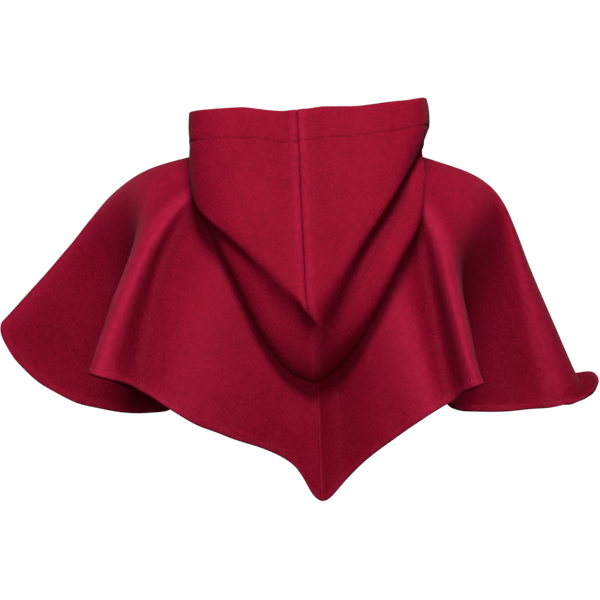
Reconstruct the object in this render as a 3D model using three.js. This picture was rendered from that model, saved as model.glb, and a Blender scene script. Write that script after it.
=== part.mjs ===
// A wool hood with a shoulder mantle, worn round the neck with the hood folded down behind.
// Millimetres, +Z up, the wearer facing +Y. The origin lies on the neck's axis, level with its base.
import * as THREE from 'three';

// Cloth and sewing
const CLOTH = 2;
const SEAM_GAP = 0.4;
const LAYER_GAP = 0.5;
const FACE_HEM = 42;

// Neckline, where the mantle is sewn to the hood: half its width and depth, and its height round the neck
const NECK_HALF_WIDTH = 78;
const NECK_HALF_DEPTH = 72;
const NECK_BACK_HEIGHT = 30;
const NECK_SIDE_HEIGHT = 28;
const NECK_FRONT_HEIGHT = -20;

// Shoulders that the mantle drapes over: their reach from the neck's axis and their height
const SHOULDER_HALF_WIDTH = 228;
const SHOULDER_BACK_REACH = 128;
const SHOULDER_FRONT_REACH = 126;
const SHOULDER_SIDE_HEIGHT = -11;
const SHOULDER_BACK_HEIGHT = -80;
const SHOULDER_FRONT_HEIGHT = -90;
const SHOULDER_TILT_HEIGHT = 5;
const NECK_SWELL_HEIGHT = 5;

// Mantle's hem: sideways, behind or before the neck's axis, and below the neck's base
const HEM_HALF_WIDTH = 370;
const HEM_REACH = 215;
const HEM_DROP = 400;
const HEM_BOW = 20;
const HEM_FLIP_DEPTH = 20;

// Hood, folded down: half its width, its reach behind the neck's axis, and its length along the mantle
const HOOD_HALF_WIDTH = 145;
const HOOD_REACH = 214;
const HOOD_LENGTH = 268;
const RIDGE_DROP = 160;
const FACE_HEIGHT = 80;
const FOLD_WIDTH = 18;
const ROLL_DEPTH = 16;
const PUFF_DEPTH = 12;
const SEAM_SWAY = 10;
const SEAM_SWAY_TURN = 10;
const NECK_RISE_HEIGHT = 20;
const NECK_RISE_DEPTH = 1;
const HOOD_CLEARANCE = 7;

// Faceting: columns to each row of a table, and rows down the cloth
const COLUMNS_PER_ROW = 2;
const MANTLE_ROWS = 14;
const HOOD_ROWS = 18;
const HEM_ROWS = 4;
const MEASURE_STEPS = 80;
const BISECTIONS = 30;

// Crest of the shoulders: powers that make its outline fuller than an ellipse at the blades
const CREST_SIDE_POWER = 1.15;
const CREST_DEPTH_POWER = 0.9;
const CREST_HEIGHT_POWER = 1.5;

// Control points of the mantle's line, as shares of the way between the places that it joins, then shares of
// the folds' bow from the crest on, and of the hem's flip, outwards and upwards, at the last two points
const NECK_TO_CREST_SHARE = 0.45;
const CREST_TO_HEM_SHARES = [0, 0.3, 0.62, 0.86, 0.96];
const BOW_SHARES = [0.4, 1, 0.8, 0.5, 0.2];
const FLIP_OUT_SHARES = [0.3, 0.6];
const FLIP_UP_SHARES = [-0.25, 1.2];

// Control points of the hood's line: shares of its rise from the neckline, of its length along the mantle,
// and of the way from the bottom fold to the ridge and from there to the face edge; and how far the
// under layer's outside leans upwards, the second roll's depth and the seam's sway at the points between
// fold and ridge, and the outer layer's puff above the ridge
const STAND_SHARE = 0.7;
const BROW_SHARE = 0.8;
const BROW_LENGTH_SHARE = 0.1;
const UNDER_SHARES = [0.42, 0.7, 0.93, 1];
const UNDER_LEAN = 0.3;
const FOLD_TO_RIDGE_SHARES = [0.3, 0.66, 0.85];
const ROLL_SHARES = [0.5, -1, -0.5];
const SWAY_SHARES = [0.3, 0.8, 1];
const RIDGE_TO_FACE_SHARES = [0.17, 0.45, 0.8];
const PUFF_SHARES = [0.5, 1, 0.6];

const WOOL = { color: '#8f122d', roughness: 0.95, metalness: 0 };
const WOOL_INSIDE = { color: '#7a0f28', roughness: 0.95, metalness: 0 };

// The hem, a row for each crest, hollow or corner of the folds, from the centre back to the centre front.
// turn: degrees round the neck from the centre back. side, back, down: shares of the hem's half width,
// reach and drop. bowSide, bowBack: shares of the size by which the cloth above bows sideways and backwards
// out of a straight line to the crest. flip: share of the hem's flip.
const HEM_COLUMNS = ['turn', 'side', 'back', 'down', 'bowSide', 'bowBack', 'flip'];
const HEM_LEFT = [
  [0, -0.025, 0.73, 0.94, 0, 0.7, 0],
  [2, 0.005, 0.73, 0.925, 0, 0.7, 0],
  [6, 0.045, 0.745, 0.835, 0, 0.6, 0],
  [12, 0.13, 0.8, 0.79, 0, 0.6, 0],
  [20, 0.275, 0.895, 0.745, 0, 0.6, 0],
  [27, 0.38, 0.94, 0.695, 0.1, 0.5, 0],
  [33, 0.455, 0.915, 0.655, 0.4, 0, 0],
  [38.5, 0.51, 0.84, 0.623, 0.9, -0.8, 0],
  [42.5, 0.555, 0.87, 0.6, 0.9, -0.9, 0],
  [46, 0.605, 0.995, 0.58, 0.5, 0.4, 0],
  [49, 0.647, 1.01, 0.571, 0.3, 0.8, 0],
  [52, 0.68, 0.95, 0.57, 0.35, 0.6, 0],
  [54.5, 0.665, 0.8, 0.582, 0.6, 0.3, 0],
  [58, 0.55, 0.5, 0.64, 1, 0.2, 0],
  [63, 0.415, 0.28, 0.705, 1.1, 0, 0],
  [70, 0.52, 0.1, 0.73, 0.6, -0.4, 0],
  [78, 0.735, -0.02, 0.725, 0, -0.6, 0],
  [86, 0.925, -0.09, 0.637, -0.3, -0.5, 0],
  [93, 1.035, -0.17, 0.51, -0.3, -0.3, 0],
  [99, 1.035, -0.26, 0.442, -0.1, 0, 0],
  [106, 0.95, -0.35, 0.49, 0, 0, 0],
  [115, 0.82, -0.46, 0.585, 0, 0, 0],
];
const HEM_RIGHT = [
  [0, 0.025, 0.73, 0.94, 0, 0.7, 0],
  [2, 0.055, 0.7, 0.942, 0, 0, 0],
  [6, 0.1, 0.655, 0.88, 0, -0.7, 0],
  [12, 0.19, 0.8, 0.795, 0, 0.2, 0],
  [20, 0.295, 0.87, 0.722, 0, 0.6, 0],
  [27, 0.365, 0.9, 0.677, 0, 0.3, 0],
  [33, 0.41, 0.84, 0.652, 0, -0.8, 0],
  [37, 0.435, 0.86, 0.634, -0.1, -0.7, 0],
  [40, 0.458, 0.97, 0.612, -0.3, 0.4, 0],
  [43, 0.484, 1.01, 0.598, -0.4, 1, 0],
  [45.5, 0.512, 0.975, 0.594, -0.3, 0.8, 0],
  [48, 0.523, 0.87, 0.602, -0.2, 0.5, 0],
  [51.5, 0.49, 0.7, 0.626, -0.1, 0.2, 0],
  [58, 0.42, 0.42, 0.668, 0, 0, 0],
  [66, 0.43, 0.2, 0.71, 0, -0.3, 0],
  [75, 0.545, 0.02, 0.728, 0, -0.7, 0],
  [83, 0.68, 0, 0.726, 0, -0.6, 0.05],
  [90, 0.8, 0.13, 0.725, 0, 0.4, 0.3],
  [97, 0.905, -0.02, 0.71, 0, 0, 0.9],
  [105, 0.905, -0.22, 0.68, 0, 0, 1.35],
  [115, 0.82, -0.43, 0.66, 0, 0, 0.4],
];
const HEM_FRONT = [
  [124, 0.64, -0.62, 0.665, 0, 0, 0],
  [134, 0.56, -0.84, 0.7, 0, 0, 0],
  [143, 0.45, -0.905, 0.735, 0, 0, 0],
  [152, 0.345, -1, 0.755, 0, 0, 0],
  [162, 0.19, -0.925, 0.775, 0, 0, 0],
  [171, 0.09, -0.985, 0.79, 0, 0, 0],
  [180, 0, -1, 0.795, 0, 0, 0],
];

// The folded hood, a row for each section from the centre back to the centre front.
// turn: degrees round the neck, at the neckline and at the bottom fold. length: share of the hood's length.
// width: share of the bottom fold's width. roll: share of the second roll's depth below the ridge.
// puff: share of the depth by which the outer layer stands out above the ridge.
// ridge and face: where the hood's outer layer breaks and where its face edge lies, as shares of the
// hood's half width and reach, and of the ridge's drop or the face edge's height.
const HOOD_COLUMNS = [
  'turn', 'foldTurn', 'length', 'width', 'roll', 'puff',
  'ridgeSide', 'ridgeBack', 'ridgeUp', 'faceSide', 'faceBack', 'faceUp',
];
const HOOD_LEFT = [
  [0, 0, 1.07, 0.8, 0.3, 0, 0.05, 1, -1, 0.125, 0.525, 0.85],
  [8, 9, 1.06, 0.8, 0.4, 0.1, 0.175, 0.98, -0.84, 0.29, 0.525, 0.84],
  [18, 18, 0.78, 0.75, 0.4, 0.2, 0.375, 0.935, -0.655, 0.54, 0.515, 0.9],
  [31, 28, 0.57, 0.6, 0.2, 0.3, 0.67, 0.83, -0.45, 0.8, 0.475, 0.87],
  [44, 38, 0.4, 0.6, 0, 0.3, 0.94, 0.655, -0.3, 0.985, 0.39, 0.845],
  [57, 50, 0.29, 0.6, 0, 0.2, 0.975, 0.43, -0.105, 0.99, 0.23, 0.81],
  [72, 68, 0.235, 0.45, 0, 0.1, 0.97, 0.17, 0.1, 0.945, 0.06, 0.87],
  [90, 90, 0.2, 0.45, 0, 0, 0.965, -0.03, 0.165, 0.79, -0.06, 0.94],
];
const HOOD_RIGHT = [
  [0, 0, 1.07, 0.8, 0.3, 0, -0.05, 1, -1, -0.125, 0.525, 0.85],
  [8, 8, 0.98, 0.9, 0.9, 0.1, 0.13, 0.98, -0.82, 0.04, 0.53, 0.905],
  [18, 17, 0.8, 1.2, 1.4, 0.2, 0.32, 0.935, -0.6, 0.285, 0.52, 0.9],
  [31, 28, 0.585, 1.2, 1.6, 0.4, 0.53, 0.82, -0.34, 0.57, 0.49, 0.955],
  [44, 38, 0.405, 1.1, 1.4, 0.6, 0.725, 0.65, -0.08, 0.835, 0.41, 1.03],
  [57, 52, 0.25, 0.9, 0.5, 0.9, 0.85, 0.43, 0.12, 0.935, 0.26, 1.07],
  [72, 70, 0.19, 0.7, 0.1, 0.8, 0.87, 0.17, 0.17, 0.92, 0.05, 1],
  [90, 90, 0.18, 0.7, 0, 0.3, 0.88, -0.03, 0.12, 0.77, -0.06, 0.95],
];
const HOOD_FRONT = [
  [115, 115, 0.2, 0.6, 0, 0, 0.83, -0.28, -0.045, 0.64, -0.235, 0.55],
  [142, 142, 0.2, 0.7, 0, 0, 0.52, -0.495, -0.21, 0.36, -0.385, 0.175],
  [164, 164, 0.2, 0.7, 0, 0, 0.19, -0.59, -0.3, 0.14, -0.465, 0],
  [180, 180, 0.2, 0.7, 0, 0, 0, -0.615, -0.335, 0, -0.485, -0.05],
];

const LEFT = {
  name: 'left',
  sign: -1,
  hem: [...HEM_LEFT, ...HEM_FRONT],
  hood: [...HOOD_LEFT, ...HOOD_FRONT],
};
const RIGHT = {
  name: 'right',
  sign: 1,
  hem: [...HEM_RIGHT, ...HEM_FRONT],
  hood: [...HOOD_RIGHT, ...HOOD_FRONT],
};

const UP = new THREE.Vector3(0, 0, 1);

// Cubic B-spline over rows of numbers, clamped so that it starts on the first row and ends on the last
function blend(rows, at) {
  const last = rows.length - 1;
  const start = Math.min(Math.floor(at), last - 1);
  const t = at - start;
  const shares = [(1 - t) ** 3, 3 * t ** 3 - 6 * t ** 2 + 4, 1 + 3 * t + 3 * t ** 2 - 3 * t ** 3, t ** 3];
  const value = (row, column) => {
    if (row < 0) return 2 * rows[0][column] - rows[1][column];
    if (row > last) return 2 * rows[last][column] - rows[last - 1][column];
    return rows[row][column];
  };
  return rows[0].map((_, column) => {
    return shares.reduce((sum, share, k) => sum + (share / 6) * value(start + k - 1, column), 0);
  });
}

function named(columns, values) {
  return Object.fromEntries(columns.map((name, i) => [name, values[i]]));
}

function pointOn(points, at) {
  return new THREE.Vector3(...blend(points.map((point) => point.toArray()), at));
}

function between(from, to, share) {
  return from.clone().lerp(to, share);
}

// Level direction away from the neck's axis at a turn in degrees
function outward(side, turn) {
  const angle = THREE.MathUtils.degToRad(turn);
  return new THREE.Vector3(side.sign * Math.sin(angle), -Math.cos(angle), 0);
}

function neckPoint(side, turn) {
  const ahead = Math.cos(THREE.MathUtils.degToRad(turn));
  const slope = (NECK_BACK_HEIGHT - NECK_FRONT_HEIGHT) / 2;
  const bend = (NECK_BACK_HEIGHT + NECK_FRONT_HEIGHT) / 2 - NECK_SIDE_HEIGHT;
  const point = outward(side, turn).multiply(new THREE.Vector3(NECK_HALF_WIDTH, NECK_HALF_DEPTH, 0));
  point.z = NECK_SIDE_HEIGHT + slope * ahead + bend * ahead ** 2;
  return point;
}

function crestPoint(side, turn) {
  const angle = THREE.MathUtils.degToRad(turn);
  const aside = Math.abs(Math.sin(angle));
  const along = Math.abs(Math.cos(angle));
  const behind = Math.cos(angle) > 0;
  const reach = behind ? -SHOULDER_BACK_REACH : SHOULDER_FRONT_REACH;
  const low = behind ? SHOULDER_BACK_HEIGHT : SHOULDER_FRONT_HEIGHT;
  return new THREE.Vector3(
    side.sign * SHOULDER_HALF_WIDTH * aside ** CREST_SIDE_POWER,
    reach * along ** CREST_DEPTH_POWER,
    SHOULDER_SIDE_HEIGHT - side.sign * SHOULDER_TILT_HEIGHT * aside
      + (low - SHOULDER_SIDE_HEIGHT) * along ** CREST_HEIGHT_POWER,
  );
}

// Control points of the mantle's line from the neckline over the shoulder to the hem
function mantleLine(side, at) {
  const row = named(HEM_COLUMNS, blend(side.hem, at));
  const neck = neckPoint(side, row.turn);
  const crest = crestPoint(side, row.turn);
  const hem = new THREE.Vector3(
    side.sign * HEM_HALF_WIDTH * row.side,
    -HEM_REACH * row.back,
    -HEM_DROP * row.down,
  );
  const out = outward(side, row.turn);
  const slope = between(neck, crest, NECK_TO_CREST_SHARE).addScaledVector(UP, NECK_SWELL_HEIGHT);
  const bow = new THREE.Vector3(side.sign * row.bowSide, -row.bowBack, 0).multiplyScalar(HEM_BOW);
  const falling = CREST_TO_HEM_SHARES.map((share, i) => {
    return between(crest, hem, share).addScaledVector(bow, BOW_SHARES[i]);
  });
  [falling.at(-1), hem].forEach((point, i) => {
    point.addScaledVector(out, FLIP_OUT_SHARES[i] * HEM_FLIP_DEPTH * row.flip);
    point.addScaledVector(UP, FLIP_UP_SHARES[i] * HEM_FLIP_DEPTH * row.flip);
  });
  return [neck, slope, ...falling, hem];
}

// Place in the hem's table at which the mantle passes a turn round the neck
function placeOfTurn(side, turn) {
  let low = 0;
  let high = side.hem.length - 1;
  for (let i = 0; i < BISECTIONS; i += 1) {
    const middle = (low + high) / 2;
    if (blend(side.hem, middle)[0] < turn) low = middle;
    else high = middle;
  }
  return (low + high) / 2;
}

// Point at a distance down a line of control points, and the line's direction there
function pointDown(line, distance) {
  const step = (line.length - 1) / MEASURE_STEPS;
  let gone = 0;
  let here = pointOn(line, 0);
  let next = pointOn(line, step);
  for (let i = 2; i <= MEASURE_STEPS && gone + here.distanceTo(next) < distance; i += 1) {
    gone += here.distanceTo(next);
    here = next;
    next = pointOn(line, i * step);
  }
  const direction = next.clone().sub(here).normalize();
  return { point: here.addScaledVector(direction, distance - gone), direction };
}

// Control points of the hood's line: up the neck, out and down the mantle as the under layer, round the
// bottom fold, and up the outer layer over the ridge to the face edge
function hoodLine(side, at) {
  const row = named(HOOD_COLUMNS, blend(side.hood, at));
  const out = outward(side, row.turn);
  const lean = out.clone().addScaledVector(UP, UNDER_LEAN);
  const length = HOOD_LENGTH * row.length;
  const overMantle = (share, clearance) => {
    const turn = row.turn + (row.foldTurn - row.turn) * share;
    const { point, direction } = pointDown(mantleLine(side, placeOfTurn(side, turn)), length * share);
    const normal = lean.clone().addScaledVector(direction, -lean.dot(direction)).normalize();
    return point.addScaledVector(normal, clearance);
  };
  const neck = neckPoint(side, row.turn).addScaledVector(UP, SEAM_GAP);
  const rise = neck.clone().addScaledVector(UP, STAND_SHARE * NECK_RISE_HEIGHT);
  rise.addScaledVector(out, NECK_RISE_DEPTH);
  const brow = overMantle(BROW_LENGTH_SHARE, HOOD_CLEARANCE);
  brow.addScaledVector(UP, BROW_SHARE * NECK_RISE_HEIGHT);
  const under = UNDER_SHARES.map((share) => overMantle(share, HOOD_CLEARANCE));
  const fold = overMantle(1, HOOD_CLEARANCE + FOLD_WIDTH * row.width);
  const ridge = new THREE.Vector3(
    side.sign * HOOD_HALF_WIDTH * row.ridgeSide,
    -HOOD_REACH * row.ridgeBack,
    RIDGE_DROP * row.ridgeUp,
  );
  const face = new THREE.Vector3(
    side.sign * HOOD_HALF_WIDTH * row.faceSide,
    -HOOD_REACH * row.faceBack,
    FACE_HEIGHT * row.faceUp,
  );
  const sway = SEAM_SWAY * Math.exp(-((row.turn / SEAM_SWAY_TURN) ** 2));
  const rising = FOLD_TO_RIDGE_SHARES.map((share, i) => {
    const point = between(fold, ridge, share).addScaledVector(out, ROLL_SHARES[i] * ROLL_DEPTH * row.roll);
    point.x += SWAY_SHARES[i] * sway;
    return point;
  });
  const outer = RIDGE_TO_FACE_SHARES.map((share, i) => {
    return between(ridge, face, share).addScaledVector(out, PUFF_SHARES[i] * PUFF_DEPTH * row.puff);
  });
  return [neck, rise, brow, ...under, fold, ...rising, ridge, ...outer, face];
}

// Place on a line of control points from which a given length is left to its end
function placeBeforeEnd(line, length) {
  const last = line.length - 1;
  const step = last / (4 * MEASURE_STEPS);
  let at = last;
  let left = 0;
  let here = pointOn(line, at);
  while (left < length) {
    at -= step;
    const next = pointOn(line, at);
    left += here.distanceTo(next);
    here = next;
  }
  return at;
}

// Points and outside normals of the cloth, a column for each step round the neck
function clothGrid(side, columns, lineAt, placesOn, outside) {
  const points = [];
  for (let i = 0; i <= columns; i += 1) {
    const line = lineAt(i / columns);
    points.push(placesOn(line).map((at) => pointOn(line, at)));
  }
  const rows = points[0].length - 1;
  const normals = points.map((column, i) => column.map((_, j) => {
    const across = new THREE.Vector3(i === 0 ? side.sign : -side.sign, 0, 0);
    if (i > 0 && i < columns) across.subVectors(points[i + 1][j], points[i - 1][j]);
    const down = column[Math.min(j + 1, rows)].clone().sub(column[Math.max(j - 1, 0)]);
    return across.cross(down).multiplyScalar(outside).normalize();
  }));
  for (const j of points[0].keys()) {
    points[0][j].x += (side.sign * SEAM_GAP) / 2;
    points[columns][j].x += (side.sign * SEAM_GAP) / 2;
  }
  return { points, normals, outside };
}

// Closed sheet between two depths under the outside of a grid, from one of its rows on
function sheetGeometry(grid, fromRow, outer, inner) {
  const columns = grid.points.length;
  const rows = grid.points[0].length - fromRow;
  const vertices = [];
  for (const depth of [outer, inner]) {
    for (let i = 0; i < columns; i += 1) {
      for (let j = fromRow; j < fromRow + rows; j += 1) {
        vertices.push(...grid.points[i][j].clone().addScaledVector(grid.normals[i][j], -depth));
      }
    }
  }
  const corner = (layer, i, j) => (layer * columns + i) * rows + j;
  const triangles = [];
  const addQuad = (a, b, c, d) => {
    if (grid.outside > 0) triangles.push(a, b, c, a, c, d);
    else triangles.push(c, b, a, d, c, a);
  };
  for (let i = 0; i < columns - 1; i += 1) {
    for (let j = 0; j < rows - 1; j += 1) {
      addQuad(corner(0, i, j), corner(0, i + 1, j), corner(0, i + 1, j + 1), corner(0, i, j + 1));
      addQuad(corner(1, i, j + 1), corner(1, i + 1, j + 1), corner(1, i + 1, j), corner(1, i, j));
    }
    const last = rows - 1;
    addQuad(corner(1, i, 0), corner(1, i + 1, 0), corner(0, i + 1, 0), corner(0, i, 0));
    addQuad(corner(0, i, last), corner(0, i + 1, last), corner(1, i + 1, last), corner(1, i, last));
  }
  for (let j = 0; j < rows - 1; j += 1) {
    const last = columns - 1;
    addQuad(corner(0, 0, j), corner(0, 0, j + 1), corner(1, 0, j + 1), corner(1, 0, j));
    addQuad(corner(0, last, j + 1), corner(0, last, j), corner(1, last, j), corner(1, last, j + 1));
  }
  const geometry = new THREE.BufferGeometry();
  geometry.setAttribute('position', new THREE.Float32BufferAttribute(vertices, 3));
  geometry.setIndex(triangles);
  geometry.computeVertexNormals();
  return geometry;
}

function addPiece(group, name, geometry, look) {
  const mesh = new THREE.Mesh(geometry, new THREE.MeshStandardMaterial(look));
  mesh.name = name;
  group.add(mesh);
}

function evenPlaces(from, to, steps) {
  return Array.from({ length: steps + 1 }, (_, i) => from + ((to - from) * i) / steps);
}

function mantleGrid(side) {
  const last = side.hem.length - 1;
  const lineAt = (share) => mantleLine(side, share * last);
  const places = (line) => evenPlaces(0, line.length - 1, MANTLE_ROWS);
  return clothGrid(side, last * COLUMNS_PER_ROW, lineAt, places, -side.sign);
}

function hoodGrid(side) {
  const last = side.hood.length - 1;
  const lineAt = (share) => hoodLine(side, share * last);
  const places = (line) => {
    const stitching = placeBeforeEnd(line, FACE_HEM);
    const body = evenPlaces(0, stitching, HOOD_ROWS);
    return [...body, ...evenPlaces(stitching, line.length - 1, HEM_ROWS).slice(1)];
  };
  return clothGrid(side, last * COLUMNS_PER_ROW, lineAt, places, side.sign);
}

const group = new THREE.Group();
for (const side of [LEFT, RIGHT]) {
  const mantle = mantleGrid(side);
  const hood = hoodGrid(side);
  const inside = CLOTH + LAYER_GAP;
  const hem = sheetGeometry(hood, HOOD_ROWS, inside, inside + CLOTH);
  addPiece(group, `mantle_${side.name}`, sheetGeometry(mantle, 0, 0, CLOTH), WOOL);
  addPiece(group, `hood_${side.name}`, sheetGeometry(hood, 0, 0, CLOTH), WOOL);
  addPiece(group, `face_hem_${side.name}`, hem, WOOL_INSIDE);
}

export default group;
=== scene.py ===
"""A wool hood with a shoulder mantle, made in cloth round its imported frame. Metres, +Z up.

Each half of the mantle and of the hood is one surface: a column of control points for every step round
the neck, worked out from short tables, and a cubic B-spline down each column. Seams, hems, puckers and
the cloth's own unevenness are small depths added along the surface's normal.
"""

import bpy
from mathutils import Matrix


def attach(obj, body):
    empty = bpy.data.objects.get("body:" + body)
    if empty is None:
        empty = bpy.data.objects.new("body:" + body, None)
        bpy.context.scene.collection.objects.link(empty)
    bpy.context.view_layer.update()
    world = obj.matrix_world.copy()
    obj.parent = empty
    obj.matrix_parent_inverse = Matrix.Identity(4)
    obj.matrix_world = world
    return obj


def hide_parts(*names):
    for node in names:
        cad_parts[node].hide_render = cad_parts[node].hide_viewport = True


bl_info = {
    "name": "Wool hood",
    "version": (1, 0, 0),
    "blender": (4, 5, 0),
    "location": "3D View > Sidebar > Wool hood",
    "description": "Builds a wool hood with a shoulder mantle, its seams, hems, stitching and studio",
    "category": "Object",
}

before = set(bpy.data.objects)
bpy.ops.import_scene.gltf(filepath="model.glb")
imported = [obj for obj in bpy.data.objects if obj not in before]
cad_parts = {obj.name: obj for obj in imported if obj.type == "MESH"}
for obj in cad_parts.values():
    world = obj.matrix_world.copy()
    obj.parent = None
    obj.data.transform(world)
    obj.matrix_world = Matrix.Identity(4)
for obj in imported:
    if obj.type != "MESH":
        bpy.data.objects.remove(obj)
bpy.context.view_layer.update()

from typing import NamedTuple

import bpy
import numpy as np
from bpy.props import FloatProperty, FloatVectorProperty, PointerProperty
from mathutils import Vector

BODY = "root"
UP = np.array([0.0, 0.0, 1.0])

# Neckline, where the mantle is sewn to the hood
NECK_HALF_WIDTH = 0.078
NECK_HALF_DEPTH = 0.072
NECK_BACK_HEIGHT = 0.030
NECK_SIDE_HEIGHT = 0.028
NECK_FRONT_HEIGHT = -0.020

# Shoulders that the mantle drapes over
SHOULDER_HALF_WIDTH = 0.228
SHOULDER_BACK_REACH = 0.128
SHOULDER_FRONT_REACH = 0.126
SHOULDER_SIDE_HEIGHT = -0.011
SHOULDER_BACK_HEIGHT = -0.080
SHOULDER_FRONT_HEIGHT = -0.090
SHOULDER_TILT_HEIGHT = 0.005
NECK_SWELL_HEIGHT = 0.005
CREST_SIDE_POWER = 1.15
CREST_DEPTH_POWER = 0.9
CREST_HEIGHT_POWER = 1.5

# Mantle's hem, and the hood folded down behind
HEM_HALF_WIDTH = 0.370
HEM_REACH = 0.215
HEM_DROP = 0.400
HEM_BOW = 0.020
HEM_FLIP_DEPTH = 0.020
HOOD_HALF_WIDTH = 0.145
HOOD_REACH = 0.214
HOOD_LENGTH = 0.268
RIDGE_DROP = 0.160
FACE_HEIGHT = 0.080
FOLD_WIDTH = 0.018
ROLL_DEPTH = 0.016
PUFF_DEPTH = 0.012
SEAM_SWAY = 0.010
SEAM_SWAY_TURN = 10
NECK_RISE_HEIGHT = 0.020
NECK_RISE_DEPTH = 0.001
HOOD_CLEARANCE = 0.007
SEAM_GAP = 0.0004

# Where two halves meet: the gap left between them, the lean of their inner edges to the right, and the
# reaches over which these, and the turn of the normals into the seam's plane, fade
MEETING_GAP = 0.00003
MEETING_LEAN = 0.00015
MEETING_REACH = 0.004
MEETING_TURN_REACH = 0.005

# Places of the control points, as shares of the way between the places that a line joins
NECK_TO_CREST_SHARE = 0.45
CREST_TO_HEM_SHARES = (0, 0.3, 0.62, 0.86, 0.96)
BOW_SHARES = (0.4, 1, 0.8, 0.5, 0.2)
FLIP_OUT_SHARES = (0.3, 0.6)
FLIP_UP_SHARES = (-0.25, 1.2)
STAND_SHARE = 0.7
BROW_SHARE = 0.8
BROW_LENGTH_SHARE = 0.1
UNDER_SHARES = (0.42, 0.7, 0.93, 1)
UNDER_LEAN = 0.3
FOLD_TO_RIDGE_SHARES = (0.3, 0.66, 0.85)
ROLL_SHARES = (0.5, -1, -0.5)
SWAY_SHARES = (0.3, 0.8, 1)
RIDGE_TO_FACE_SHARES = (0.17, 0.45, 0.8)
PUFF_SHARES = (0.5, 1, 0.6)

# The hem, a row for each crest, hollow or corner of the folds, from the centre back to the centre front:
# turn (degrees round the neck), side, back and down (shares of the hem's half width, reach and drop), bow
# aside and bow back (shares of how far the cloth above bows out of line), flip (share of the hem's flip)
HEM_LEFT = [
    (0, -0.025, 0.73, 0.94, 0, 0.7, 0),
    (2, 0.005, 0.73, 0.925, 0, 0.7, 0),
    (6, 0.045, 0.745, 0.835, 0, 0.6, 0),
    (12, 0.13, 0.8, 0.79, 0, 0.6, 0),
    (20, 0.275, 0.895, 0.745, 0, 0.6, 0),
    (27, 0.38, 0.94, 0.695, 0.1, 0.5, 0),
    (33, 0.455, 0.915, 0.655, 0.4, 0, 0),
    (38.5, 0.51, 0.84, 0.623, 0.9, -0.8, 0),
    (42.5, 0.555, 0.87, 0.6, 0.9, -0.9, 0),
    (46, 0.605, 0.995, 0.58, 0.5, 0.4, 0),
    (49, 0.647, 1.01, 0.571, 0.3, 0.8, 0),
    (52, 0.68, 0.95, 0.57, 0.35, 0.6, 0),
    (54.5, 0.665, 0.8, 0.582, 0.6, 0.3, 0),
    (58, 0.55, 0.5, 0.64, 1, 0.2, 0),
    (63, 0.415, 0.28, 0.705, 1.1, 0, 0),
    (70, 0.52, 0.1, 0.73, 0.6, -0.4, 0),
    (78, 0.735, -0.02, 0.725, 0, -0.6, 0),
    (86, 0.925, -0.09, 0.637, -0.3, -0.5, 0),
    (93, 1.035, -0.17, 0.51, -0.3, -0.3, 0),
    (99, 1.035, -0.26, 0.442, -0.1, 0, 0),
    (106, 0.95, -0.35, 0.49, 0, 0, 0),
    (115, 0.82, -0.46, 0.585, 0, 0, 0),
]
HEM_RIGHT = [
    (0, 0.025, 0.73, 0.94, 0, 0.7, 0),
    (2, 0.055, 0.7, 0.942, 0, 0, 0),
    (6, 0.1, 0.655, 0.88, 0, -0.7, 0),
    (12, 0.19, 0.8, 0.795, 0, 0.2, 0),
    (20, 0.295, 0.87, 0.722, 0, 0.6, 0),
    (27, 0.365, 0.9, 0.677, 0, 0.3, 0),
    (33, 0.41, 0.84, 0.652, 0, -0.8, 0),
    (37, 0.435, 0.86, 0.634, -0.1, -0.7, 0),
    (40, 0.458, 0.97, 0.612, -0.3, 0.4, 0),
    (43, 0.484, 1.01, 0.598, -0.4, 1, 0),
    (45.5, 0.512, 0.975, 0.594, -0.3, 0.8, 0),
    (48, 0.523, 0.87, 0.602, -0.2, 0.5, 0),
    (51.5, 0.49, 0.7, 0.626, -0.1, 0.2, 0),
    (58, 0.42, 0.42, 0.668, 0, 0, 0),
    (66, 0.43, 0.2, 0.71, 0, -0.3, 0),
    (75, 0.545, 0.02, 0.728, 0, -0.7, 0),
    (83, 0.68, 0, 0.726, 0, -0.6, 0.05),
    (90, 0.8, 0.13, 0.725, 0, 0.4, 0.3),
    (97, 0.905, -0.02, 0.71, 0, 0, 0.9),
    (105, 0.905, -0.22, 0.68, 0, 0, 1.35),
    (115, 0.82, -0.43, 0.66, 0, 0, 0.4),
]
HEM_FRONT = [
    (124, 0.64, -0.62, 0.665, 0, 0, 0),
    (134, 0.56, -0.84, 0.7, 0, 0, 0),
    (143, 0.45, -0.905, 0.735, 0, 0, 0),
    (152, 0.345, -1, 0.755, 0, 0, 0),
    (162, 0.19, -0.925, 0.775, 0, 0, 0),
    (171, 0.09, -0.985, 0.79, 0, 0, 0),
    (180, 0, -1, 0.795, 0, 0, 0),
]

# The folded hood, a row for each section from the centre back to the centre front: turn at the neckline,
# turn at the bottom fold, shares of the hood's length, of the fold's width, of the second roll's depth and of
# the outer layer's puff, then ridge side, back and up, and face edge side, back and up, as shares of the
# hood's sizes
HOOD_LEFT = [
    (0, 0, 1.07, 0.8, 0.3, 0, 0.05, 1, -1, 0.125, 0.525, 0.85),
    (8, 9, 1.06, 0.8, 0.4, 0.1, 0.175, 0.98, -0.84, 0.29, 0.525, 0.84),
    (18, 18, 0.78, 0.75, 0.4, 0.2, 0.375, 0.935, -0.655, 0.54, 0.515, 0.9),
    (31, 28, 0.57, 0.6, 0.2, 0.3, 0.67, 0.83, -0.45, 0.8, 0.475, 0.87),
    (44, 38, 0.4, 0.6, 0, 0.3, 0.94, 0.655, -0.3, 0.985, 0.39, 0.845),
    (57, 50, 0.29, 0.6, 0, 0.2, 0.975, 0.43, -0.105, 0.99, 0.23, 0.81),
    (72, 68, 0.235, 0.45, 0, 0.1, 0.97, 0.17, 0.1, 0.945, 0.06, 0.87),
    (90, 90, 0.2, 0.45, 0, 0, 0.965, -0.03, 0.165, 0.79, -0.06, 0.94),
]
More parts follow.
